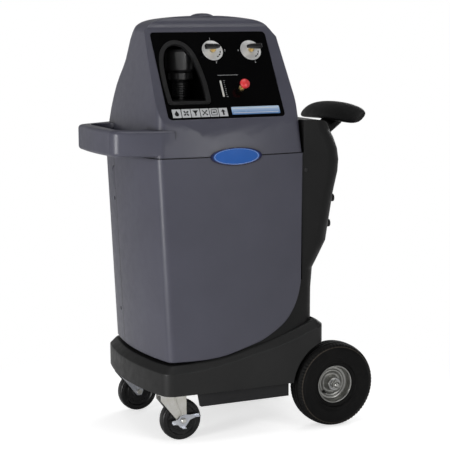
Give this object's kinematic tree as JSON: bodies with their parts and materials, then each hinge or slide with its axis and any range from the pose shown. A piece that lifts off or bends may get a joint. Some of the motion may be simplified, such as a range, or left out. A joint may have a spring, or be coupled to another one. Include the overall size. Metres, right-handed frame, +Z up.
{
  "type": "air conditioning system flusher",
  "caption": "Wheeled service cart that pumps flushing solvent through air conditioning lines: sloped panel, filter niche, side tray, handle, swivel casters and pneumatic wheels.",
  "frame": {"origin": "middle of the outer box at floor level", "axes": "+X towards the push handle and the big wheels, -Y out of the control panel side, +Z up"},
  "size_m": [0.8362, 0.5488, 1.257],
  "materials": {
    "black_shell": "fine-grained moulded black",
    "frame_paint": "satin black paint",
    "steel": "bright zinc plate",
    "tyre": "black rubber",
    "wheel_rubber": "smooth black rubber",
    "grey_shell": "satin dark grey moulded",
    "panel": "gloss black",
    "bezel": "satin dark grey",
    "brass": "machined",
    "white_mark": "printed white",
    "red": "gloss red",
    "badge": "gloss blue with a dark rim",
    "tank": "brushed",
    "pump_paint": "cast and painted",
    "hose": "matt rubber"
  },
  "bodies": {
    "cart": {"agitation_valve": "brass", "axle": "steel", "axle_brackets": "frame_paint", "axle_nuts": "steel", "back_shell": "grey_shell", "badge_plate": "badge", "base_shell": "black_shell", "caster_plates": "steel", "chassis": "frame_paint", "control_panel": "panel", "dial_plates": "steel", "filler_neck": "tank", "filter_bowl": "panel", "filter_foot": "brass", "filter_head": "panel", "filter_valve": "brass", "front_shell": "grey_shell", "handle": "black_shell", "hood": "grey_shell", "hose_stubs": "steel", "inner_filter": "tank", "inner_pipes": "hose", "niche_liner": "bezel", "pump": "pump_paint", "rear_cover": "black_shell", "regulator": "pump_paint", "screws": "steel", "selection_valve": "brass", "side_rails": "frame_paint", "sight_strip": "white_mark", "solvent_tank": "tank", "symbol_plates": "white_mark", "tank_straps": "steel", "upright_frame": "frame_paint"},
    "rear_wheel_near": {"tyre_near": "tyre", "rim_near": "steel", "rim_bearings_near": "steel", "tyre_valve_near": "wheel_rubber"},
    "caster_near": {"caster_fork_near": "steel", "caster_bolt_near": "steel"},
    "caster_wheel_near": {"caster_wheel_near": "wheel_rubber", "caster_bushing_near": "steel"},
    "brake_near": {"brake_lever_near": "steel"},
    "rear_wheel_far": {"tyre_far": "tyre", "rim_far": "steel", "rim_bearings_far": "steel", "tyre_valve_far": "wheel_rubber"},
    "caster_far": {"caster_fork_far": "steel", "caster_bolt_far": "steel"},
    "caster_wheel_far": {"caster_wheel_far": "wheel_rubber", "caster_bushing_far": "steel"},
    "brake_far": {"brake_lever_far": "steel"},
    "selection_handle": {"selection_stem": "brass", "selection_lever": "bezel"},
    "filter_handle": {"filter_stem": "brass", "filter_lever": "bezel"},
    "agitation_control": {"agitation_stem": "brass", "agitation_knob": "red"},
    "fill_cap": {"filler_cap": "grey_shell"},
    "collar_ring": {"filter_collar": "panel"}
  },
  "joints": [
    {"name": "rear_wheel_near_spin", "type": "hinge", "parent": "cart", "child": "rear_wheel_near", "pos_m": [0.267, -0.229, 0.13], "axis": [0, 1, 0], "continuous": true},
    {"name": "caster_near_swivel", "type": "hinge", "parent": "cart", "child": "caster_near", "pos_m": [-0.254, -0.179, 0.14], "axis": [0, 0, 1], "continuous": true},
    {"name": "caster_wheel_near_spin", "type": "hinge", "parent": "caster_near", "child": "caster_wheel_near", "pos_m": [-0.217, -0.179, 0.0625], "axis": [0, 1, 0], "continuous": true},
    {"name": "brake_near_tilt", "type": "hinge", "parent": "caster_near", "child": "brake_near", "pos_m": [-0.217, -0.179, 0.0625], "axis": [0, 1, 0], "range_deg": [0, 18]},
    {"name": "rear_wheel_far_spin", "type": "hinge", "parent": "cart", "child": "rear_wheel_far", "pos_m": [0.267, 0.229, 0.13], "axis": [0, 1, 0], "continuous": true},
    {"name": "caster_far_swivel", "type": "hinge", "parent": "cart", "child": "caster_far", "pos_m": [-0.254, 0.179, 0.14], "axis": [0, 0, 1], "continuous": true},
    {"name": "caster_wheel_far_spin", "type": "hinge", "parent": "caster_far", "child": "caster_wheel_far", "pos_m": [-0.217, 0.179, 0.0625], "axis": [0, 1, 0], "continuous": true},
    {"name": "brake_far_tilt", "type": "hinge", "parent": "caster_far", "child": "brake_far", "pos_m": [-0.217, 0.179, 0.0625], "axis": [0, 1, 0], "range_deg": [0, 18]},
    {"name": "selection_lever_turn", "type": "hinge", "parent": "cart", "child": "selection_handle", "pos_m": [-0.0645, -0.09277, 1.14786], "axis": [0, -0.8654, 0.501], "range_deg": [-180, 0]},
    {"name": "filter_lever_turn", "type": "hinge", "parent": "cart", "child": "filter_handle", "pos_m": [0.0605, -0.09327, 1.14699], "axis": [0, -0.8654, 0.501], "range_deg": [-90, 0]},
    {"name": "agitation_knob_turn", "type": "hinge", "parent": "cart", "child": "agitation_control", "pos_m": [-0.0005, -0.1569, 1.03708], "axis": [0, -0.8654, 0.501], "range_deg": [-270, 0]},
    {"name": "fill_cap_turn", "type": "hinge", "parent": "cart", "child": "fill_cap", "pos_m": [-0.057, 0.002, 1.2435], "axis": [0, 0, 1], "range_deg": [0, 90]},
    {"name": "filter_collar_turn", "type": "hinge", "parent": "cart", "child": "collar_ring", "pos_m": [-0.146, -0.036, 1.05285], "axis": [0, 0, 1], "range_deg": [0, 60]}
  ]
}
